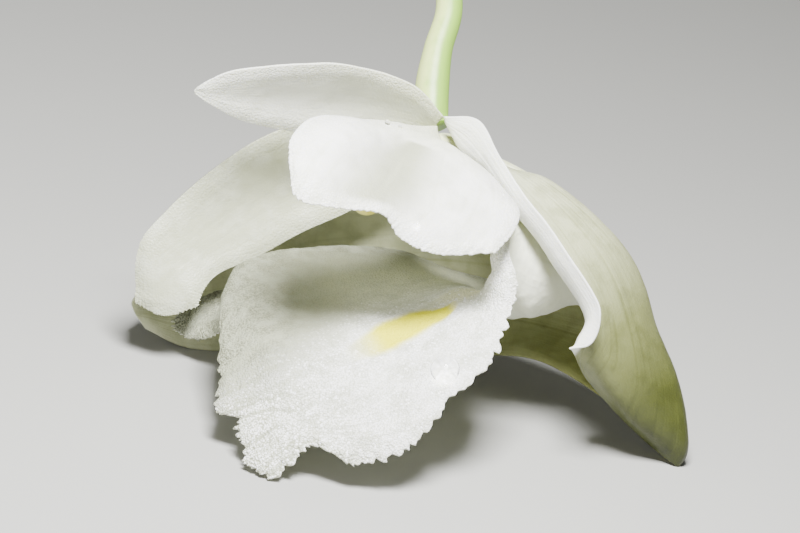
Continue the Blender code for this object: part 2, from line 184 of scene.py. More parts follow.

# %% [markdown]
# The petals are thin white tissue with a satin skin. Their domes are about 0.05 mm across in life, far below one
# pixel, so they are drawn at 0.22 mm, just coarse enough to break up the light, and stronger near the cut edge,
# where a real petal turns crystalline. Fine veins show as a breath of grey-green. Toward the base the white turns
# cream. A greyer band down the near petal's middle is painted shade, lying in the valley of its fold, and the far
# petal is painted greener and darker all over, most toward its end, as painted shade.

# %% Petal tissue, grown, satin
# Painted shade: a greyer band along the valley down the near petal's middle.
VALLEY_SHADE_BAND = ((0.32, 0.46, 0.10), (0.6, 0.47, 0.17), (0.8, 0.45, 0.15), (0.97, 0.42, 0.10))


def make_petal(name, base_code, tip_code, vein_count, valley_shade_band=()):
    material, tree, shader, along, _ = tissue(name, 0.42, 0.25)
    where, domes, patches = grain(tree, 0.22)
    lines = veins(tree, along, vein_count, 3.0)
    grown = add(tree, "ShaderNodeMapRange", {"Value": along["X"], "From Min": 0.0, "From Max": 0.55}, **SMOOTH)
    white = add(tree, "ShaderNodeMix", {0: grown.outputs[0], 6: linear(base_code), 7: linear(tip_code)}, **COLOURS)
    patch = add(tree, "ShaderNodeMapRange", {
        "Value": patches, "From Min": 0.42, "From Max": 0.68, "To Max": 0.4}, **SMOOTH)
    dull = add(tree, "ShaderNodeMix", {0: patch.outputs[0], 6: white.outputs[2], 7: linear("#D3D5C4")}, **COLOURS)
    # Painted shade in the near petal's valley.
    if valley_shade_band:
        valley_shade = add(tree, "ShaderNodeMath", {0: wedge(tree, along, valley_shade_band, 0.9), 1: 0.9}, operation="MULTIPLY")
        dull = add(tree, "ShaderNodeMix", {
            0: valley_shade.outputs[0], 6: dull.outputs[2], 7: linear("#A2A589")}, **COLOURS)
    line = add(tree, "ShaderNodeMapRange", {
        "Value": lines, "From Min": 0.5, "From Max": 0.72, "To Max": 0.3}, **SMOOTH)
    veined = add(tree, "ShaderNodeMix", {0: line.outputs[0], 6: dull.outputs[2], 7: linear("#C6CAB0")}, **COLOURS)
    near_edge = add(tree, "ShaderNodeMapRange", {
        "Value": along["Z"], "From Min": 3.5, "From Max": 0.2, "To Min": 0.25, "To Max": 1.0}, **SMOOTH)
    dark = add(tree, "ShaderNodeMapRange", {
        "Value": domes.outputs["Distance"], "From Min": 0.25, "From Max": 0.75, "To Max": 0.35}, **SMOOTH)
    dark = add(tree, "ShaderNodeMath", {0: dark.outputs[0], 1: near_edge.outputs[0]}, operation="MULTIPLY")
    grained = add(tree, "ShaderNodeMix", {
        0: dark.outputs[0], 6: veined.outputs[2], 7: linear("#C2C5B4")}, **COLOURS)
    tree.links.new(grained.outputs[2], shader.inputs["Base Color"])
    domed = add(tree, "ShaderNodeMath", {0: domes.outputs["Distance"], 1: near_edge.outputs[0]},
                operation="MULTIPLY")
    height = add(tree, "ShaderNodeMath", {0: domed.outputs[0], 1: -0.9, 2: patches}, operation="MULTIPLY_ADD")
    height = add(tree, "ShaderNodeMath", {0: lines, 1: -0.6, 2: height.outputs[0]}, operation="MULTIPLY_ADD")
    bump = add(tree, "ShaderNodeBump", {"Strength": 0.7, "Distance": 0.1 * MM, "Height": height.outputs[0]})
    tree.links.new(bump.outputs["Normal"], shader.inputs["Normal"])
    return material


near_petal_white = make_petal("near_petal_tissue_grown_satin", "#E2E5C6", "#F8F8F3", 24, VALLEY_SHADE_BAND)
# The far petal's greener, darker colours, darkest toward its end, are painted shade.
far_petal_white = make_petal("far_petal_tissue_grown_satin", "#CDD0AC", "#B4B79C", 24)
dorsal_white = make_petal("dorsal_sepal_tissue_grown_satin", "#DCDFBF", "#EDEEE4", 14)
print("made:", near_petal_white.name, far_petal_white.name, dorsal_white.name)

# %% [markdown]
# The two lateral sepals grow out into the spur. They are the same tissue, but the green of the leaves still shows
# in them: their inner faces are olive, and so is the spur toward its tip, where the sepals are thickest. The spur's
# dark tip is partly that olive and partly painted shade for the light's fall-off and its shaded underside, and the
# inner faces darken with painted shade deeper into the spur. Distance from the spur's tip gives the outer colour,
# and the face reading tells inside from outside. The left sepal's free margin, which curls out into a strip, is the
# whitest part of all on both faces.

# %% Lateral sepal tissue, grown, olive and painted shade toward the spur
# Partly olive, partly painted shade: the darkest stops toward the spur's tip also stand for the light's fall-off and
# the shaded underside.
SEPAL_OLIVE_AND_SHADE_STOPS = ((1, "#363B16"), (9, "#4A4F24"), (17, "#767A4E"), (26, "#ABAE8A"), (50, "#DEE1C8"))


def make_lateral_sepal(name, tip_point, strip_wide):
    material, tree, shader, along, inner = tissue(name, 0.4, 0.25)
    where, domes, patches = grain(tree, 0.22)
    tip = list(on_table([tip_point])[0])
    reach = add(tree, "ShaderNodeVectorMath", {0: where, 1: tip}, operation="DISTANCE").outputs["Value"]
    share = add(tree, "ShaderNodeMath", {0: reach, 1: SEPAL_OLIVE_AND_SHADE_STOPS[-1][0] * MM}, operation="DIVIDE")
    olive_and_painted_shade = add(tree, "ShaderNodeValToRGB", {"Fac": share.outputs[0]})
    stops = olive_and_painted_shade.color_ramp.elements
    stops.remove(stops[1])
    stops[0].position, stops[0].color = SEPAL_OLIVE_AND_SHADE_STOPS[0][0] / SEPAL_OLIVE_AND_SHADE_STOPS[-1][0], linear(SEPAL_OLIVE_AND_SHADE_STOPS[0][1])
    for distance_mm, code in SEPAL_OLIVE_AND_SHADE_STOPS[1:]:
        stops.new(distance_mm / SEPAL_OLIVE_AND_SHADE_STOPS[-1][0]).color = linear(code)
    # Partly the inner faces' own green, partly painted shade: they darken deeper into the spur.
    deep = add(tree, "ShaderNodeMapRange", {"Value": reach, "From Min": 8 * MM, "From Max": 50 * MM}, **SMOOTH)
    inside = add(tree, "ShaderNodeMix", {
        0: deep.outputs[0], 6: linear("#8F9256"), 7: linear("#CDD0AE")}, **COLOURS)
    sided = add(tree, "ShaderNodeMix", {0: inner, 6: olive_and_painted_shade.outputs["Color"], 7: inside.outputs[2]}, **COLOURS)
    patch = add(tree, "ShaderNodeMapRange", {
        "Value": patches, "From Min": 0.42, "From Max": 0.68, "To Max": 0.35}, **SMOOTH)
    dull = add(tree, "ShaderNodeMix", {
        0: patch.outputs[0], 6: sided.outputs[2], 7: linear("#A9AC88")}, blend_type="MULTIPLY", **COLOURS)
    lines = veins(tree, along, 40, 6.0)
    line = add(tree, "ShaderNodeMapRange", {
        "Value": lines, "From Min": 0.5, "From Max": 0.72, "To Max": 0.35}, **SMOOTH)
    veined = add(tree, "ShaderNodeMix", {
        0: line.outputs[0], 6: dull.outputs[2], 7: linear("#B0B38C")}, blend_type="MULTIPLY", **COLOURS)
    if strip_wide:
        strip = add(tree, "ShaderNodeMapRange", {
            "Value": along["Y"], "From Min": strip_wide, "From Max": strip_wide - 0.06, "To Max": 0.9}, **SMOOTH)
        veined = add(tree, "ShaderNodeMix", {
            0: strip.outputs[0], 6: veined.outputs[2], 7: linear("#F6F7F0")}, **COLOURS)
    tree.links.new(veined.outputs[2], shader.inputs["Base Color"])
    height = add(tree, "ShaderNodeMath", {0: lines, 1: -1.0, 2: patches}, operation="MULTIPLY_ADD")
    height = add(tree, "ShaderNodeMath", {0: domes.outputs["Distance"], 1: -0.2, 2: height.outputs[0]},
                 operation="MULTIPLY_ADD")
    bump = add(tree, "ShaderNodeBump", {"Strength": 0.8, "Distance": 0.12 * MM, "Height": height.outputs[0]})
    tree.links.new(bump.outputs["Normal"], shader.inputs["Normal"])
    return material


SPUR_TIP = (24.0, -34.5, 0.0)
left_sepal_cream = make_lateral_sepal("left_lateral_sepal_tissue_grown_satin", SPUR_TIP, 0.24)
right_sepal_cream = make_lateral_sepal("right_lateral_sepal_tissue_grown_satin", SPUR_TIP, 0)
print("made:", left_sepal_cream.name, right_sepal_cream.name)

# %% [markdown]
# The lip is the bloom's landing place. Its skin stands in larger domes than the petals', so it looks like damp
# sugar. They are still too fine to show, so they are drawn at 0.2 mm, deeper and darker between than the petals'.
# The near half is the whitest part. The far half, under the hood, carries painted shade tinted olive, darkest at
# its crest and paler toward the throat. Toward the front margin the veins grow darker, partly real veins and
# partly painted shade where the margin curls under. Sparse white flecks on the unshaded part are painted glints.
# One yellow mark lies along the middle, with a cream ridge above it. Mark and ridge follow the blade: each lies
# along a line that bends at set places, with a set width there, so no picture is needed to place them. The outer
# face is smooth and cream.

# %% Lip tissue, grown, grainy, with a yellow mark
MARK_BENDS = ((0.55, 0.640, 0.014), (0.585, 0.640, 0.030), (0.62, 0.614, 0.048), (0.665, 0.602, 0.052),
              (0.715, 0.590, 0.038), (0.757, 0.586, 0.018))
RIDGE_BENDS = ((0.44, 0.66, 0.02), (0.50, 0.62, 0.05), (0.56, 0.588, 0.045), (0.61, 0.562, 0.02))


def make_lip(name):
    material, tree, shader, along, inner = tissue(name, 0.5, 0.12)
    where, domes, patches = grain(tree, 0.2)
    # Painted shade: the far half is mixed toward olive shade colours, darkest at its crest and paler toward the
    # throat.
    inward = add(tree, "ShaderNodeMapRange", {"Value": along["X"], "From Min": 0.86, "From Max": 0.66}, **SMOOTH)
    shaded = add(tree, "ShaderNodeMath", {0: inward.outputs[0], 1: 0.1, 2: along["Y"]}, operation="MULTIPLY_ADD")
    painted_shade_share = add(tree, "ShaderNodeMapRange", {
        "Value": shaded.outputs[0], "From Min": 0.66, "From Max": 0.46}, **SMOOTH)
    below_crest = add(tree, "ShaderNodeMapRange", {
        "Value": along["Y"], "From Min": 0.28, "From Max": 0.40}, **SMOOTH)
    pale = add(tree, "ShaderNodeMath", {0: inward.outputs[0], 1: below_crest.outputs[0]}, operation="MULTIPLY")
    olive_and_painted_shade = add(tree, "ShaderNodeMix", {0: pale.outputs[0], 6: linear("#686A55"), 7: linear("#D6D8B8")}, **COLOURS)
    white = add(tree, "ShaderNodeMix", {
        0: painted_shade_share.outputs[0], 6: linear("#FBFBF8"), 7: olive_and_painted_shade.outputs[2]}, **COLOURS)
    patch = add(tree, "ShaderNodeMapRange", {
        "Value": patches, "From Min": 0.40, "From Max": 0.66, "To Max": 0.5}, **SMOOTH)
    dull = add(tree, "ShaderNodeMix", {0: patch.outputs[0], 6: white.outputs[2], 7: linear("#B9BCA8")}, **COLOURS)
    lines = veins(tree, along, 44, 5.0)
    # The veins darken toward the front margin: partly real veins, partly painted shade where the margin curls under.
    fanned_veins_and_shade = add(tree, "ShaderNodeMapRange", {
        "Value": along["X"], "From Min": 0.7, "From Max": 1.0, "To Min": 0.12, "To Max": 0.75}, **SMOOTH)
    line = add(tree, "ShaderNodeMapRange", {"Value": lines, "From Min": 0.46, "From Max": 0.62}, **SMOOTH)
    line = add(tree, "ShaderNodeMath", {0: line.outputs[0], 1: fanned_veins_and_shade.outputs[0]}, operation="MULTIPLY")
    veined = add(tree, "ShaderNodeMix", {0: line.outputs[0], 6: dull.outputs[2], 7: linear("#9A9E86")}, **COLOURS)
    ridge = wedge(tree, along, RIDGE_BENDS, 0.6)
    ridged = add(tree, "ShaderNodeMix", {0: ridge, 6: veined.outputs[2], 7: linear("#F6F4D8")}, **COLOURS)
    mark = wedge(tree, along, MARK_BENDS, 0.32)
    gaps = add(tree, "ShaderNodeMapRange", {
        "Value": domes.outputs["Distance"], "From Min": 0.2, "From Max": 0.8}, **SMOOTH)
    coarser = add(tree, "ShaderNodeMapRange", {
        "Value": along["X"], "From Min": 0.65, "From Max": 1.0, "To Min": 0.4, "To Max": 1.0}, **SMOOTH)
    gaps = add(tree, "ShaderNodeMath", {0: gaps.outputs[0], 1: coarser.outputs[0]}, operation="MULTIPLY")
    grained = add(tree, "ShaderNodeMix", {
        0: gaps.outputs[0], 6: ridged.outputs[2], 7: linear("#A0A38C")}, **COLOURS)
    # Painted glints: sparse white flecks on the domes outside the painted shade.
    picked = add(tree, "ShaderNodeSeparateXYZ", {"Vector": domes.outputs["Color"]})
    painted_glint = add(tree, "ShaderNodeMapRange", {"Value": picked.outputs["X"], "From Min": 0.9, "From Max": 0.95})
    lit = add(tree, "ShaderNodeMath", {0: 1.0, 1: painted_shade_share.outputs[0]}, operation="SUBTRACT")
    painted_glint = add(tree, "ShaderNodeMath", {0: painted_glint.outputs[0], 1: lit.outputs[0]}, operation="MULTIPLY")
    grained = add(tree, "ShaderNodeMix", {
        0: painted_glint.outputs[0], 6: grained.outputs[2], 7: linear("#FFFFFF")}, **COLOURS)
    grained = add(tree, "ShaderNodeMix", {0: mark, 6: grained.outputs[2], 7: linear("#E2DC00")}, **COLOURS)
    outer = add(tree, "ShaderNodeMix", {0: inner, 6: linear("#E8EAD6"), 7: grained.outputs[2]}, **COLOURS)
    tree.links.new(outer.outputs[2], shader.inputs["Base Color"])
    damp = add(tree, "ShaderNodeMapRange", {
        "Value": domes.outputs["Distance"], "From Min": 0.1, "From Max": 0.35,
        "To Min": 0.2, "To Max": 0.6}, **SMOOTH)
    tree.links.new(damp.outputs[0], shader.inputs["Roughness"])
    domed = add(tree, "ShaderNodeMath", {0: domes.outputs["Distance"], 1: inner}, operation="MULTIPLY")
    height = add(tree, "ShaderNodeMath", {0: domed.outputs[0], 1: -1.0, 2: patches}, operation="MULTIPLY_ADD")
    height = add(tree, "ShaderNodeMath", {0: lines, 1: -0.5, 2: height.outputs[0]}, operation="MULTIPLY_ADD")
    bump = add(tree, "ShaderNodeBump", {"Strength": 0.9, "Distance": 0.16 * MM, "Height": height.outputs[0]})
    tree.links.new(bump.outputs["Normal"], shader.inputs["Normal"])
    return material


lip_white = make_lip("lip_tissue_grown_granular")
print("made:", lip_white.name)

# %% [markdown]
# The ovary and stalk are one round green stem under a waxy skin. The wax makes it glossier than the petals, so it
# gets a thin coat. It is green on the side away from the dorsal sepal and pale cream toward it.

# %% Stem tissue, grown, waxy
def make_stem(name, pale_code, green_code):
    material, tree, shader, _, _ = tissue(name, 0.38, 0.25)
    shader.inputs["Coat Weight"].default_value = 0.15
    shader.inputs["Coat Roughness"].default_value = 0.3
    where = add(tree, "ShaderNodeTexCoord").outputs["Object"]
    facing = add(tree, "ShaderNodeAttribute", attribute_name="round").outputs["Fac"]
    streaks = add(tree, "ShaderNodeTexNoise", {
        "Vector": where, "Scale": per_mm(1.2), "Detail": 4.0}).outputs["Fac"]
    mixed = add(tree, "ShaderNodeMath", {0: streaks, 1: 0.4, 2: facing}, operation="MULTIPLY_ADD")
    green = add(tree, "ShaderNodeMapRange", {"Value": mixed.outputs[0], "From Min": 0.3, "From Max": 0.9}, **SMOOTH)
    colour = add(tree, "ShaderNodeMix", {
        0: green.outputs[0], 6: linear(pale_code), 7: linear(green_code)}, **COLOURS)
    tree.links.new(colour.outputs[2], shader.inputs["Base Color"])
    bump = add(tree, "ShaderNodeBump", {"Strength": 0.4, "Distance": 0.06 * MM, "Height": streaks})
    tree.links.new(bump.outputs["Normal"], shader.inputs["Normal"])
    return material


stem_green = make_stem("stem_tissue_grown_waxy", "#D0E08C", "#8CB446")
column_cream = make_stem("column_tissue_grown_waxy", "#EDEFD8", "#D6DAB0")
anther_yellow = make_stem("anther_cap_tissue_grown_waxy", "#E9E48C", "#DAD264")
print("made:", stem_green.name, column_cream.name, anther_yellow.name)

# %% [markdown]
# A blade is set out by rows of points from its base to its end, each row running from one margin to the other.
# These are the same rows that shaped the solids, so the fine blades lie where the solids do.

# %% The blades' rows of points
DORSAL_SEPAL = (
    ((-1.2, -0.5, -0.6), (-0.8, 0.4, 0.9), (-0.1, 0.9, 2.0)),
    ((-4.5, -1.1, 0.0), (-4.0, 1.7, 2.0), (-3.3, 4.1, 4.6)),
    ((-10.5, -1.2, 2.0), (-10.0, 2.7, 4.2), (-9.5, 5.9, 8.2)),
    ((-16.5, -0.4, 5.0), (-15.7, 2.9, 7.0), (-14.9, 5.9, 10.6)),
    ((-20.5, 0.5, 7.8), (-20.5, 2.9, 9.4), (-20.5, 5.3, 12.2)),
    ((-23.4, 2.0, 10.6), (-23.9, 3.1, 11.2), (-23.3, 4.3, 12.2)),
    ((-24.7, 2.9, 11.6), (-24.9, 3.2, 11.7), (-24.6, 3.6, 11.9)),
)
RIGHT_PETAL = (
    ((-0.9, -1.9, -2.1), (-0.6, -2.7, -2.3), (-0.3, -3.5, -2.0)),
    ((-6.0, 0.3, -2.0), (-5.7, -3.0, -4.5), (-5.0, -6.0, -4.0)),
    ((-12.0, 0.5, -1.0), (-11.0, -4.0, -4.4), (-10.0, -8.7, -4.4)),
    ((-17.5, -0.7, 0.0), (-16.5, -6.0, -3.2), (-14.5, -10.7, -3.8)),
    ((-23.3, -4.3, 1.0), (-21.7, -9.0, -1.4), (-19.0, -13.2, -2.4)),
    ((-28.0, -8.5, 1.5), (-25.7, -12.0, 0.4), (-22.7, -14.8, -0.5)),
    ((-30.8, -12.1, 1.5), (-28.5, -14.5, 1.4), (-24.3, -16.5, 0.8)),
    ((-31.2, -17.8, 0.8), (-28.3, -19.1, 1.2), (-24.9, -18.2, 1.0)),
)
LEFT_PETAL = (
    ((-0.8, 0.0, 2.3), (-0.9, -0.7, 2.6), (-0.8, -1.2, 2.8), (-0.6, -1.7, 2.9),
     (-0.4, -2.0, 2.9), (-0.2, -2.3, 2.8), (0.0, -2.6, 2.6)),
    ((-3.1, -0.1, 6.3), (-2.5, -1.0, 7.0), (-1.9, -1.6, 7.1), (-1.0, -1.9, 7.6),
     (0.1, -2.3, 8.0), (1.2, -2.8, 7.8), (2.0, -3.5, 7.2)),
    ((-8.3, 0.5, 12.0), (-6.7, -0.8, 13.0), (-5.0, -2.0, 11.5), (-3.0, -2.8, 11.0),
     (0.0, -3.8, 12.0), (3.0, -4.8, 11.0), (5.5, -6.1, 9.2)),
    ((-12.7, 0.6, 17.0), (-10.0, -1.7, 18.0), (-7.0, -3.5, 15.8), (-4.0, -4.7, 14.5),
     (-0.5, -6.0, 15.0), (3.5, -7.5, 14.0), (7.2, -8.7, 12.2)),
    ((-15.1, -1.5, 20.0), (-12.5, -4.0, 21.0), (-9.0, -5.7, 19.5), (-5.0, -7.0, 17.5),
     (-1.5, -9.0, 17.0), (2.0, -10.3, 16.0), (6.7, -10.7, 14.0)),
    ((-15.3, -4.0, 22.0), (-14.5, -7.5, 23.0), (-10.5, -8.4, 22.0), (-6.3, -9.0, 20.0),
     (-4.5, -11.3, 19.0), (-1.1, -12.9, 18.0), (4.9, -12.8, 16.0)),
)
LEFT_LATERAL_SEPAL = (
    ((-0.1, 0.9, 3.1), (0.5, 0.2, 2.4), (1.6, 0.1, 1.8), (2.4, 0.0, 1.0), (2.8, -0.2, 0.1), (2.8, -0.4, -0.7)),
    ((3.3, 0.5, 5.2), (1.9, -2.4, 3.3), (3.7, -2.9, 2.7), (4.7, -3.4, 1.7), (5.4, -4.0, 0.4), (5.3, -4.2, -0.7)),
    ((5.5, -3.3, 8.2), (4.1, -4.4, 5.9), (6.5, -5.5, 4.6), (8.8, -5.9, 3.4), (10.2, -5.6, 1.5), (10.1, -5.9, -0.6)),
    ((7.9, -7.1, 10.0), (6.7, -8.0, 7.9), (10.0, -9.2, 6.5), (13.2, -9.8, 5.0), (15.3, -9.6, 1.9),
     (15.0, -10.0, -0.6)),
    ((10.5, -10.5, 11.0), (9.3, -11.3, 8.8), (12.7, -12.8, 7.5), (16.3, -14.0, 5.8), (19.0, -14.3, 2.1),
     (18.6, -14.6, -0.6)),
    ((13.9, -15.7, 12.0), (12.2, -15.6, 9.5), (15.2, -17.5, 8.0), (18.6, -20.0, 5.8), (21.1, -20.5, 2.1),
     (20.7, -20.7, -0.6)),
    ((15.3, -18.7, 12.4), (14.2, -19.3, 10.3), (15.8, -21.7, 8.0), (19.8, -25.8, 5.2), (23.3, -26.3, 1.9),
     (22.9, -26.5, -0.6)),
    ((14.5, -21.7, 12.0), (13.4, -21.6, 10.6), (14.8, -23.7, 8.0), (19.2, -29.4, 4.0), (24.0, -31.5, 1.7),
     (23.7, -31.7, -0.6)),
    ((12.3, -22.3, 11.4), (12.8, -22.8, 10.2), (14.3, -25.5, 3.6), (19.0, -30.6, 0.6), (23.2, -34.1, 0.8),
     (23.8, -33.8, -0.5)),
)
RIGHT_LATERAL_SEPAL = (
    ((2.0, -1.8, -2.0), (10.0, -6.1, -1.3), (18.4, -14.6, -1.2), (22.7, -26.4, -1.2), (23.5, -33.7, -1.3)),
    ((-0.3, -1.9, -4.1), (8.5, -7.5, -5.2), (15.5, -16.5, -7.0), (19.4, -25.0, -5.6), (20.7, -32.1, -1.7)),
    ((-4.5, -3.2, -6.2), (2.5, -9.5, -9.2), (10.0, -16.5, -10.2), (13.7, -22.0, -8.6), (15.7, -27.2, -2.0)),
    ((-9.5, -4.6, -8.0), (-4.5, -9.5, -10.6), (1.5, -15.5, -11.6), (4.5, -20.0, -10.6), (7.5, -23.3, -7.4)),
    ((-16.5, -6.6, -8.6), (-13.5, -10.5, -10.6), (-10.5, -15.5, -11.2), (-8.5, -20.0, -10.2), (-6.5, -24.1, -8.0)),
    ((-24.0, -11.0, -8.0), (-22.5, -13.7, -9.0), (-21.0, -17.0, -9.0), (-19.5, -20.0, -8.6), (-18.3, -22.9, -7.5)),
    ((-29.5, -14.5, -6.5), (-28.7, -16.0, -7.0), (-27.9, -18.0, -7.0), (-26.9, -20.3, -6.5), (-25.9, -22.5, -6.0)),
    ((-31.6, -17.4, -5.0), (-31.8, -17.9, -5.0), (-31.7, -18.4, -5.0), (-31.3, -19.2, -5.0), (-30.4, -20.5, -5.0)),
)
LIP = (
    ((16.1, -19.3, -4.5), (16.4, -20.1, -4.6), (16.7, -20.9, -4.0), (16.9, -21.7, -2.5), (17.1, -22.1, -0.5),
     (17.1, -21.7, 1.5), (16.8, -20.7, 2.8), (16.4, -19.5, 3.2)),
    ((12.7, -15.3, -5.0), (13.0, -16.1, -5.2), (13.3, -16.9, -4.8), (13.6, -17.5, -3.0), (13.8, -17.8, 0.0),
     (13.7, -17.4, 3.0), (13.2, -15.7, 4.9), (12.8, -13.7, 4.7)),
    ((9.0, -15.7, -6.5), (9.3, -16.3, -6.8), (9.6, -17.1, -6.2), (9.9, -18.1, -3.5), (10.1, -18.6, 0.0),
     (10.0, -18.1, 4.0), (9.8, -14.8, 6.4), (9.8, -10.6, 5.5)),
    ((7.2, -16.1, -7.2), (7.3, -16.4, -7.5), (7.5, -16.8, -6.8), (8.0, -18.3, -3.5), (8.3, -18.9, 0.8),
     (8.2, -18.2, 5.2), (7.3, -13.7, 7.9), (7.6, -9.3, 6.4)),
    ((5.3, -16.5, -8.0), (5.3, -16.3, -8.2), (5.3, -16.1, -7.2), (5.9, -18.1, -3.5), (6.5, -18.9, 1.5),
     (5.6, -15.5, 8.5), (4.9, -12.8, 10.3), (6.3, -12.3, 11.3)),
    ((3.3, -16.3, -8.8), (3.1, -15.9, -9.0), (2.9, -15.4, -8.0), (4.0, -17.3, -2.6), (4.9, -18.1, 4.5),
     (4.7, -15.3, 10.4), (5.8, -15.3, 12.0), (7.1, -15.9, 12.5)),
    ((0.7, -16.5, -9.0), (0.5, -15.7, -9.3), (0.3, -14.6, -8.0), (1.5, -16.2, -1.0), (2.2, -16.6, 6.5),
     (3.5, -17.7, 10.0), (4.9, -18.6, 12.4), (6.3, -19.0, 13.5)),
    ((-3.5, -15.5, -9.0), (-4.0, -14.3, -9.5), (-4.5, -12.9, -8.0), (-2.0, -16.5, 0.5), (-0.9, -18.1, 8.0),
     (1.0, -20.0, 12.0), (3.0, -22.0, 15.0), (4.5, -23.3, 16.5)),
    ((-10.0, -15.5, -8.6), (-10.5, -14.1, -8.6), (-11.0, -12.5, -5.6), (-7.3, -17.5, 3.0), (-5.3, -20.3, 11.0),
     (-3.0, -23.2, 15.0), (-0.8, -25.7, 18.5), (0.7, -27.2, 20.0)),
    ((-22.3, -16.4, -5.6), (-16.0, -16.4, -6.6), (-16.6, -12.9, -1.2), (-11.5, -18.5, 6.5), (-9.3, -22.5, 14.5),
     (-7.0, -26.8, 18.5), (-5.0, -30.0, 21.0), (-3.7, -31.8, 22.0)),
    ((-27.2, -19.3, -3.6), (-19.5, -17.5, -4.0), (-20.5, -14.3, 2.0), (-17.5, -20.0, 11.0), (-15.5, -25.0, 17.5),
     (-12.6, -28.9, 20.0), (-10.6, -30.8, 21.3), (-8.7, -33.4, 22.5)),
    ((-26.7, -21.0, -2.6), (-20.9, -18.8, -1.5), (-21.8, -16.8, 5.0), (-20.2, -22.0, 12.7), (-18.9, -26.5, 17.5),
     (-16.7, -29.2, 19.7), (-15.0, -30.2, 21.0), (-12.8, -31.8, 22.4)),
    ((-24.5, -21.7, -1.0), (-21.7, -20.0, 2.0), (-22.3, -19.3, 8.0), (-22.4, -24.0, 14.0), (-22.3, -27.9, 17.5),
     (-20.5, -30.0, 19.5), (-19.7, -33.0, 21.5), (-17.0, -34.9, 23.0)),
)
print("rows of each blade:", [len(rows) for rows in (DORSAL_SEPAL, RIGHT_PETAL, LEFT_PETAL, LIP)])

# %% [markdown]
# A smooth curve through evenly counted points is a weighted sum of the four nearest ones. Used once along the blade
# and once across it, the same weights give any point of its surface, so a fine grid costs two small tables of
# weights and one product.

# %% A smooth surface through the rows
def curve_weights(shares, count):
    """How much each of count points weighs at each share of a smooth curve through them."""
    last = count - 1
    first = np.clip(np.floor(shares * last).astype(int), 0, last - 1)
    f = shares * last - first
    near = (-f + 2 * f ** 2 - f ** 3, 2 - 5 * f ** 2 + 3 * f ** 3, f + 4 * f ** 2 - 3 * f ** 3, f ** 3 - f ** 2)
    weights = np.zeros((len(shares), count + 2))
    for step, weight in enumerate(near):
        weights[np.arange(len(shares)), first + step] += weight / 2
    inner = weights[:, 1:-1].copy()
    inner[:, 0] += 2 * weights[:, 0]
    inner[:, 1] -= weights[:, 0]
    inner[:, -1] += 2 * weights[:, -1]
    inner[:, -2] -= weights[:, -1]
    return inner


def on_blade(rows, along, across_it):
    """The points of a blade at shares of its length and width, given as two grids of one shape."""
    rows = np.array(rows, float)
    lengthwise = curve_weights(along.ravel(), len(rows))
    widthwise = curve_weights(across_it.ravel(), rows.shape[1])
    return np.einsum("nr,nc,rcd->nd", lengthwise, widthwise, rows, optimize=True).reshape(*along.shape, 3)


middle = on_blade(LIP, np.array([0.6]), np.array([0.6]))[0]
print("a point on the lip's middle, mm:", middle.round(2))

# %% [markdown]
# The lip and the petals have cut edges, as if nibbled. The larger teeth and nicks are the ones that the solids
# have, so both outlines agree. A finer, jagged line is laid over them. Each margin moves out by its tooth and
# carries the tissue behind it along, less and less over a short way.

# %% Teeth along a cut margin
def uneven(number):
    """A number from 0 to 1 that differs from tooth to tooth."""
    return (np.sin(12.9898 * (number + 1)) * 43758.5453) % 1.0


def nicked(u, v, nicks):
    """Grids of the places that a blade's places move to, so that its end and its last margin have their nicks."""
    out = {1: np.zeros(len(v)), 2: np.zeros(len(u))}
    for side, at, half, share in nicks:
        out[side] += share * np.maximum(0, 1 - np.abs((v if side == 1 else u) - at) / half)
    return u[:, None] + out[1][None, :] * u[:, None] ** 6, v[None, :] + out[2][:, None] * v[None, :] ** 6


TEETH_GROW_OVER = 0.12


def teeth(shares, first, steps, lengthwise, cut):
    """Heights in millimetres along one margin, at shares of the way that the teeth are counted."""
    number = first + np.arange(steps + 1)
    starts = np.interp(number - first, (0, steps), (lengthwise[0], lengthwise[-1]))
    coarse = np.where(number % 2 == 1, 0.35 + 0.65 * uneven(number), -0.15 - 0.6 * uneven(number))
    coarse *= cut["deep"] * cut["kept"] * np.clip((starts - cut["from"]) / TEETH_GROW_OVER, 0, 1)
    knots = np.arange(int(steps * cut["finer"]) + 2)
    at = (knots + 0.6 * (uneven(knots + 3 * first) - 0.5)) / cut["finer"]
    fine = (uneven(knots + first + 31) - 0.5) * cut["fine_deep"]
    grown = np.clip((lengthwise - cut["from"]) / TEETH_GROW_OVER, 0, 1)
    return np.interp(shares * steps, np.arange(steps + 1), coarse) + np.interp(shares * steps, at, fine) * grown


def pull_margin(grid, side, heights, over_mm):
    """Moves one margin out by its heights, and what lies within over_mm of it along."""
    lines = {0: grid, 1: grid.transpose(1, 0, 2)[:, ::-1], 2: grid[:, ::-1]}[side]
    steps = np.linalg.norm(np.diff(lines, axis=1), axis=2)
    away = np.concatenate([np.zeros((len(lines), 1)), np.cumsum(steps, axis=1)], axis=1)
    inward = np.argmax(away > 0.5, axis=1)
    out = lines[:, 0] - lines[np.arange(len(lines)), np.maximum(inward, 1)]
    out /= np.maximum(np.linalg.norm(out, axis=1, keepdims=True), 1e-6)
    fall = np.clip(1 - away / over_mm, 0, 1) ** 2
    lines += out[:, None, :] * (heights[:, None] * fall)[:, :, None]


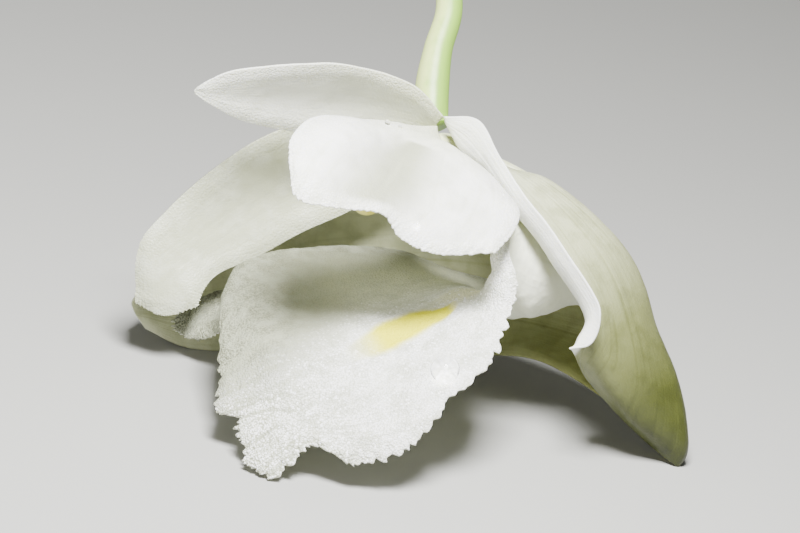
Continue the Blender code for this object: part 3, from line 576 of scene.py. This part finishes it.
LIP_CUT = {
    "from": 0.36, "deep": 0.42, "kept": 0.35, "steps": (40, 26), "finer": 2.6, "fine_deep": 0.8, "over_mm": 0.8,
    "nicks": ((2, 0.672, 0.024, -0.045), (2, 0.80, 0.03, -0.012), (2, 0.92, 0.03, -0.03), (1, 0.58, 0.05, 0.012),
              (1, 0.66, 0.06, -0.024), (1, 0.47, 0.06, -0.012), (1, 0.80, 0.05, -0.01)),
}
LEFT_PETAL_CUT = {
    "from": 0.78, "deep": 0.18, "kept": 0.5, "steps": (22, 26), "finer": 2.7, "fine_deep": 0.2, "over_mm": 0.6,
    "nicks": (),
}
RIGHT_PETAL_CUT = {
    "from": 0.78, "deep": 0.18, "kept": 0.5, "steps": (28, 16), "finer": 2.7, "fine_deep": 0.2, "over_mm": 0.6,
    "nicks": (),
}
print("unevenness of the first teeth:", uneven(np.arange(4)).round(2))

# %% [markdown]
# A blade becomes a closed skin: one grid pushed out to the inner face, one to the outer face, and a narrow wall
# round the margin. It is 0.7 mm thick where it joins the rest and thins to a fine edge over its last 1.5 mm, as a
# petal does. Soft random waves move both faces together. The grid is closer at the margins, where the teeth are.

# %% One fine blade
CLOSER = 0.45
EDGE_THICK_MM, THINS_OVER_MM, WAVES_GROW_OVER_MM = 0.16, 1.5, 4.0


def blade_piece(name, rows, counts, thick_mm, thin_sides, material, waves, cut=None, inner=1):
    """A closed fine blade; waves pairs a height with a width in millimetres, inner is -1 where its faces swap."""
    count_u, count_v = counts
    s = np.linspace(0, 1, count_u + 1)
    u = s + CLOSER * np.sin(np.pi * s) / np.pi
    t = np.linspace(0, 1, count_v + 1)
    v = t - CLOSER * np.sin(2 * np.pi * t) / (2 * np.pi)
    places_u, places_v = nicked(u, v, cut["nicks"] if cut else ())
    grid = on_blade(rows, *np.broadcast_arrays(places_u, places_v))
    if cut:
        steps_u, steps_v = (2 * steps for steps in cut["steps"])
        pull_margin(grid, 0, teeth(u, 0, steps_u, u, cut), cut["over_mm"])
        pull_margin(grid, 1, teeth(v, steps_u, steps_v, np.ones_like(v), cut), cut["over_mm"])
        back = teeth(1 - u[::-1], steps_u + steps_v, steps_u, u[::-1], cut)
        pull_margin(grid, 2, back[::-1], cut["over_mm"])
    along = np.concatenate([np.zeros((1, count_v + 1)),
                            np.cumsum(np.linalg.norm(np.diff(grid, axis=0), axis=2), axis=0)])
    wide = np.concatenate([np.zeros((count_u + 1, 1)),
                           np.cumsum(np.linalg.norm(np.diff(grid, axis=1), axis=2), axis=1)], axis=1)
    to_side = {0: wide, 1: along[-1] - along, 2: wide[:, -1:] - wide, 3: along}
    edge = np.minimum.reduce([to_side[side] for side in thin_sides])
    normal = np.cross(np.gradient(grid, axis=0), np.gradient(grid, axis=1))
    normal /= np.maximum(np.linalg.norm(normal, axis=2, keepdims=True), 1e-9)
    lift = np.zeros(grid.shape[:2])
    for height, width in waves:
        lift += height * np.array([[noise.noise(point / width) for point in line] for line in grid])
    rooted = np.clip(along / WAVES_GROW_OVER_MM, 0, 1)
    centre = grid + normal * (lift * rooted)[:, :, None]
    thinned = np.sin(np.clip(edge / THINS_OVER_MM, 0, 1) * np.pi / 2)
    half = 0.5 * (EDGE_THICK_MM + (thick_mm - EDGE_THICK_MM) * thinned)
    faces_at = [centre + normal * half[:, :, None], centre - normal * half[:, :, None]]
    points = np.concatenate([on_table(face).reshape(-1, 3) for face in faces_at])
    number = np.arange((count_u + 1) * (count_v + 1)).reshape(count_u + 1, count_v + 1)
    quads = np.stack([number[:-1, :-1], number[1:, :-1], number[1:, 1:], number[:-1, 1:]], axis=2).reshape(-1, 4)
    rim = np.concatenate([number[:-1, 0], number[-1, :-1], number[:0:-1, -1], number[0, :0:-1]])
    after = np.roll(rim, -1)
    under = number.size
    walls = np.stack([rim, rim + under, after + under, after], axis=1)
    mesh = bpy.data.meshes.new(name)
    mesh.from_pydata(points.tolist(), [], np.concatenate([quads, quads[:, ::-1] + under, walls]).tolist())
    place = np.stack([*np.broadcast_arrays(u[:, None], v[None, :]), edge], axis=2)
    attribute = mesh.attributes.new("place", "FLOAT_VECTOR", "POINT")
    attribute.data.foreach_set("vector", np.concatenate([place.reshape(-1, 3)] * 2).ravel())
    attribute = mesh.attributes.new("face", "FLOAT", "POINT")
    attribute.data.foreach_set("value", np.repeat([1.0, 0.0][::inner], under))
    mesh.polygons.foreach_set("use_smooth", np.ones(len(mesh.polygons), bool))
    mesh.materials.append(material)
    mesh.update()
    piece = bpy.data.objects.new(name, mesh)
    bpy.context.scene.collection.objects.link(piece)
    print(f"{name}: {4 * count_u * count_v} triangles, width up to {wide[:, -1].max():.1f} mm")
    return piece


def stands_for(piece, node):
    """The piece replaces its node, which is hidden, and rides on the one body."""
    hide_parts(node)
    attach(piece, "root")


# %% [markdown]
# The dorsal sepal is the hood over the bloom: smooth edged, with a few lengthwise veins. The petals stand either
# side of it, with cut ends and soft waves.

# %% The dorsal sepal and the two petals
dorsal = blade_piece("dorsal_sepal_fine", DORSAL_SEPAL, (150, 70), 0.7, (0, 1, 2), dorsal_white,
                     ((0.10, 4.0), (0.03, 1.3)))
stands_for(dorsal, "dorsal_sepal")
right_petal = blade_piece("petal_right_fine", RIGHT_PETAL, (230, 120), 0.7, (0, 1, 2), far_petal_white,
                          ((0.12, 3.5), (0.04, 1.0)), RIGHT_PETAL_CUT)
stands_for(right_petal, "petal_right")
left_petal = blade_piece("petal_left_fine", LEFT_PETAL, (200, 230), 0.7, (0, 1, 2), near_petal_white,
                         ((0.16, 3.5), (0.05, 1.2)), LEFT_PETAL_CUT)
stands_for(left_petal, "petal_left")

# %% [markdown]
# The lateral sepals are broad at the base and grow down together into the spur. The left one's free margin curls
# out into the bright strip with a hooked tip. Only their free margins thin out, and the seam at the back of the spur
# stays thick. The solids keep a gap there, and each fine blade reaches half of the way over it.

# %% The two lateral sepals
SEAM_SHARE_MM = 0.27
left_rows = np.array(LEFT_LATERAL_SEPAL)
left_rows[:, -1, 2] -= SEAM_SHARE_MM
right_rows = np.array(RIGHT_LATERAL_SEPAL)
right_rows[0, :, 2] += SEAM_SHARE_MM
left_sepal = blade_piece("lateral_sepal_left_fine", left_rows, (200, 150), 0.7, (0, 1), left_sepal_cream,
                         ((0.10, 4.0), (0.03, 1.2)), inner=-1)
stands_for(left_sepal, "lateral_sepal_left")
right_sepal = blade_piece("lateral_sepal_right_fine", right_rows, (200, 130), 0.7, (0, 1, 2),
                          right_sepal_cream, ((0.10, 4.0), (0.03, 1.2)))
stands_for(right_sepal, "lateral_sepal_right")

# %% [markdown]
# The lip has the finest grid of all, because its cut margin and its sugary waves are what the eye goes to.

# %% The lip
lip = blade_piece("lip_fine", LIP, (290, 170), 0.75, (0, 1, 2), lip_white,
                  ((0.14, 3.0), (0.07, 1.0), (0.04, 0.45)), LIP_CUT)
stands_for(lip, "lip")

# %% [markdown]
# Stalk and column are round and taper from point to point. A ring of points is swept along a smooth curve. The
# attribute round tells the material which side of the stem a point is on.

# %% The stalk with its ovary, and the column with its foot
STALK = ((0.1, 17.0, -5.2, 1.3), (0.5, 12.0, -4.6, 1.35), (-0.6, 8.0, -3.9, 1.45), (-1.2, 4.4, -3.3, 1.7),
         (-1.3, 1.5, -2.5, 1.7), (-0.9, 0.0, -1.9, 1.45))
COLUMN = ((-6.8, -6.8, 7.5, 1.15), (-4.6, -5.2, 5.0, 1.25), (-1.8, -2.9, 1.9, 1.35), (0.4, -2.1, 0.0, 1.35),
          (3.6, -5.0, -0.5, 1.3), (9.2, -10.0, -0.8, 1.2), (15.2, -15.8, -1.0, 1.1), (20.0, -24.0, -1.1, 1.0))


def stem_piece(name, knots, rings, sides, ribs, material):
    """A closed round stem with a few shallow ribs; its first end is a cut face with a slightly sunk middle."""
    line = curve_weights(np.linspace(0, 1, rings), len(knots)) @ np.array(knots)
    ahead = np.gradient(line[:, :3], axis=0)
    ahead /= np.linalg.norm(ahead, axis=1, keepdims=True)
    side = np.cross(ahead, (0.0, 0.0, 1.0))
    side /= np.linalg.norm(side, axis=1, keepdims=True)
    front = np.cross(side, ahead)
    turn = np.linspace(0, 2 * np.pi, sides, endpoint=False)
    radius = line[:, 3:] * (1 + 0.012 * np.cos(ribs * turn)[None, :])
    rim = side[:, None] * np.cos(turn)[None, :, None] + front[:, None] * np.sin(turn)[None, :, None]
    tube = line[:, None, :3] + rim * radius[:, :, None]
    sunk = line[0, :3] + ahead[0] * 0.15
    inner_ring = sunk + rim[0] * radius[0][:, None] * 0.8
    points = np.concatenate([tube.reshape(-1, 3), inner_ring, [sunk], [line[-1, :3]]])
    number = np.arange(rings * sides).reshape(rings, sides)
    faces = []
    for here, there in ((number[k], number[k + 1]) for k in range(rings - 1)):
        faces += np.stack([here, np.roll(here, -1), np.roll(there, -1), there], axis=1).tolist()
    first_in = rings * sides + np.arange(sides)
    faces += np.stack([number[0], first_in, np.roll(first_in, -1), np.roll(number[0], -1)], axis=1).tolist()
    faces += [[a, rings * sides + sides, b] for a, b in zip(first_in.tolist(), np.roll(first_in, -1).tolist())]
    last_ring, last_turned = number[-1].tolist(), np.roll(number[-1], -1).tolist()
    faces += [[a, b, rings * sides + sides + 1] for a, b in zip(last_ring, last_turned)]
    mesh = bpy.data.meshes.new(name)
    mesh.from_pydata(on_table(points).tolist(), [], faces)
    facing = np.concatenate([(0.5 + 0.5 * rim[:, :, 0]).ravel(), np.full(sides + 2, 0.3)])
    attribute = mesh.attributes.new("round", "FLOAT", "POINT")
    attribute.data.foreach_set("value", facing)
    mesh.polygons.foreach_set("use_smooth", np.ones(len(mesh.polygons), bool))
    mesh.materials.append(material)
    mesh.update()
    piece = bpy.data.objects.new(name, mesh)
    bpy.context.scene.collection.objects.link(piece)
    print(f"{name}: {2 * rings * sides} triangles")
    return piece


stalk = stem_piece("pedicel_ovary_fine", STALK, 120, 64, 6, stem_green)
stands_for(stalk, "pedicel_ovary")
column = stem_piece("column_foot_fine", COLUMN, 120, 48, 3, column_cream)
stands_for(column, "column_foot")

# %% [markdown]
# The anther cap is a small waxy helmet on the column's end, with a shallow groove down its middle.

# %% The anther cap
ANTHER_CAP_MM = (1.5, 1.35, 1.25)
CAP_RINGS, CAP_SIDES = 31, 64
POLES_FROM = CAP_RINGS * CAP_SIDES
lat = np.linspace(-np.pi / 2, np.pi / 2, CAP_RINGS + 2)[1:-1]
lon = np.linspace(0, 2 * np.pi, CAP_SIDES, endpoint=False)
ball = np.stack([np.cos(lat)[:, None] * np.cos(lon), np.cos(lat)[:, None] * np.sin(lon),
                 np.broadcast_to(np.sin(lat)[:, None], (CAP_RINGS, CAP_SIDES))], axis=2)
groove = 1 - 0.10 * np.exp(-(ball[:, :, 1] / 0.15) ** 2) * (ball[:, :, 0] < 0.2)
cap_points = np.array(ANTHER_CAP_AT) + ball * groove[:, :, None] * ANTHER_CAP_MM
poles = np.array(ANTHER_CAP_AT) + np.array(((0, 0, -1), (0, 0, 1))) * ANTHER_CAP_MM
number = np.arange(POLES_FROM).reshape(CAP_RINGS, CAP_SIDES)
faces = np.stack([number[:-1], np.roll(number[:-1], -1, axis=1), np.roll(number[1:], -1, axis=1), number[1:]],
                 axis=2).reshape(-1, 4).tolist()
faces += [[b, a, POLES_FROM] for a, b in zip(number[0].tolist(), np.roll(number[0], -1).tolist())]
faces += [[a, b, POLES_FROM + 1] for a, b in zip(number[-1].tolist(), np.roll(number[-1], -1).tolist())]
cap_mesh = bpy.data.meshes.new("anther_cap_fine")
cap_mesh.from_pydata(on_table(np.concatenate([cap_points.reshape(-1, 3), poles])).tolist(), [], faces)
attribute = cap_mesh.attributes.new("round", "FLOAT", "POINT")
attribute.data.foreach_set("value", np.concatenate([(0.5 + 0.5 * ball[:, :, 0]).ravel(), [0.5, 0.5]]))
cap_mesh.polygons.foreach_set("use_smooth", np.ones(len(cap_mesh.polygons), bool))
cap_mesh.materials.append(anther_yellow)
cap = bpy.data.objects.new("anther_cap_fine", cap_mesh)
bpy.context.scene.collection.objects.link(cap)
stands_for(cap, "anther_cap")
print("anther cap faces:", len(faces))

# %% [markdown]
# The flower was wet: one drop of water sits on the lip near its edge, and a few small ones on the near petal. They
# aren't part of the flower, so they are one piece of their own that can be left out. A small drop is nearly a ball
# cut by the surface that it sits on, a little flattened. Clear water needs no colour, only its own index and a
# smooth skin. Light shines through a real drop, so the pieces throw no shadow.

# %% Drops of water
DROPS = ((LIP, 0.652, 0.87, 1.45), (LEFT_PETAL, 0.905, 0.66, 0.4), (LEFT_PETAL, 0.342, 0.10, 0.3),
         (LEFT_PETAL, 0.30, 0.13, 0.22), (LEFT_PETAL, 0.532, 0.928, 0.2))
DROP_FLATTENED, DROP_SUNK, STEP = 0.88, 0.2, 0.01
water = bpy.data.materials.new("water_drop_clear")
water.use_nodes = True
shader = water.node_tree.nodes["Principled BSDF"]
shader.inputs["Roughness"].default_value = 0.03
shader.inputs["IOR"].default_value = 1.333
shader.inputs["Transmission Weight"].default_value = 1.0
ripples = add(water.node_tree, "ShaderNodeTexNoise", {"Scale": per_mm(2.0)})
bump = add(water.node_tree, "ShaderNodeBump", {
    "Strength": 0.1, "Distance": 0.02 * MM, "Height": ripples.outputs[0]})
water.node_tree.links.new(bump.outputs["Normal"], shader.inputs["Normal"])
drops_mesh = bpy.data.meshes.new("water_drops_fine")
builder = bmesh.new()
for rows, at_u, at_v, radius in DROPS:
    spots = on_blade(rows, np.array([at_u, at_u + STEP, at_u]), np.array([at_v, at_v, at_v + STEP]))
    out = Vector(np.cross(spots[1] - spots[0], spots[2] - spots[0])).normalized()
    out = out if out.z > 0 else -out
    sits = Vector(spots[0]) + out * (0.35 + radius * DROP_FLATTENED * (1 - DROP_SUNK))
    to_drop = Matrix.Translation(sits) @ out.to_track_quat("Z", "Y").to_matrix().to_4x4()
    squashed = Matrix.Diagonal((1, 1, DROP_FLATTENED, 1))
    bmesh.ops.create_icosphere(builder, subdivisions=4, radius=radius, matrix=to_drop @ squashed)
placed = on_table([vert.co for vert in builder.verts])
for vert, spot in zip(builder.verts, placed):
    vert.co = spot
for face in builder.faces:
    face.smooth = True
builder.to_mesh(drops_mesh)
builder.free()
drops_mesh.materials.append(water)
drops = bpy.data.objects.new("water_drops_fine", drops_mesh)
bpy.context.scene.collection.objects.link(drops)
drops.visible_shadow = False
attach(drops, "root")
print("drops:", len(DROPS), "triangles:", len(drops_mesh.polygons))

# %% [markdown]
# The floor is plain, pale and matt, a little darker than the bloom so that white tissue reads against it.

# %% Floor
floor_mesh = bpy.data.meshes.new("floor")
FLOOR_HALF, FLOOR_Z = 3.0, -0.02 * MM
corners = [(x * FLOOR_HALF, y * FLOOR_HALF, FLOOR_Z) for x, y in ((-1, -1), (1, -1), (1, 1), (-1, 1))]
floor_mesh.from_pydata(corners, [], [(0, 1, 2, 3)])
floor_paint = bpy.data.materials.new("floor_paint_matt")
floor_paint.use_nodes = True
floor_paint.node_tree.nodes["Principled BSDF"].inputs["Base Color"].default_value = linear("#A3A39F")
floor_paint.node_tree.nodes["Principled BSDF"].inputs["Roughness"].default_value = 0.9
floor_mesh.materials.append(floor_paint)
floor = bpy.data.objects.new("floor", floor_mesh)
bpy.context.scene.collection.objects.link(floor)
print("floor at mm:", FLOOR_Z / MM)

# %% [markdown]
# The photograph looks at the flower's left side from a little above, with the camera tipped so that the stalk
# leans. The camera's axes are the bloom frame's own x, y and z. A long lens from 0.6 m keeps the lines parallel.

# %% Camera
PICTURE_MIDDLE = (-4.5, -14.15, 6.0)
FRAME_WIDTH_MM, CAMERA_AWAY_MM = 80.0, 600.0
right, up, back = (TURN.col[k] for k in range(3))
camera_data = bpy.data.cameras.new("camera")
camera_data.lens = camera_data.sensor_width * CAMERA_AWAY_MM / FRAME_WIDTH_MM
camera_data.clip_start = 0.01
camera_data.clip_end = 20
camera = bpy.data.objects.new("camera", camera_data)
centre = TURN @ (Vector(PICTURE_MIDDLE) * MM) + SHIFT
turned = Matrix((right, up, back)).transposed().to_4x4()
camera.matrix_world = Matrix.Translation(centre + back * CAMERA_AWAY_MM * MM) @ turned
bpy.context.scene.collection.objects.link(camera)
bpy.context.scene.camera = camera
print("lens in mm:", camera_data.lens)

# %% [markdown]
# The photograph has a flash close above the flower: the near petal, the strip and the lip's front are brightest and
# everything farther back falls off. A small light at 0.2 m does the same. A weak wide light from the front and a
# grey surround fill the shadows.

# %% Lights
def area_light(name, direction, distance, size, watts):
    """A square light that looks at the bloom from a direction of the picture: right, up, toward the viewer."""
    place = centre + (right * direction[0] + up * direction[1] + back * direction[2]).normalized() * distance
    data = bpy.data.lights.new(name, "AREA")
    data.size = size
    data.energy = watts
    light = bpy.data.objects.new(name, data)
    light.visible_camera = False
    light.location = place
    light.rotation_euler = (place - centre).to_track_quat("Z", "Y").to_euler()
    bpy.context.scene.collection.objects.link(light)
    return light


area_light("key", (0.12, 0.67, 0.73), 0.2, 0.065, 2.25)
area_light("fill", (-0.5, 0.1, 0.9), 0.8, 0.6, 1.6)
world = bpy.data.worlds.new("studio")
world.use_nodes = True
world.node_tree.nodes["Background"].inputs["Color"].default_value = linear("#D6D6D0")
world.node_tree.nodes["Background"].inputs["Strength"].default_value = 0.28
bpy.context.scene.world = world
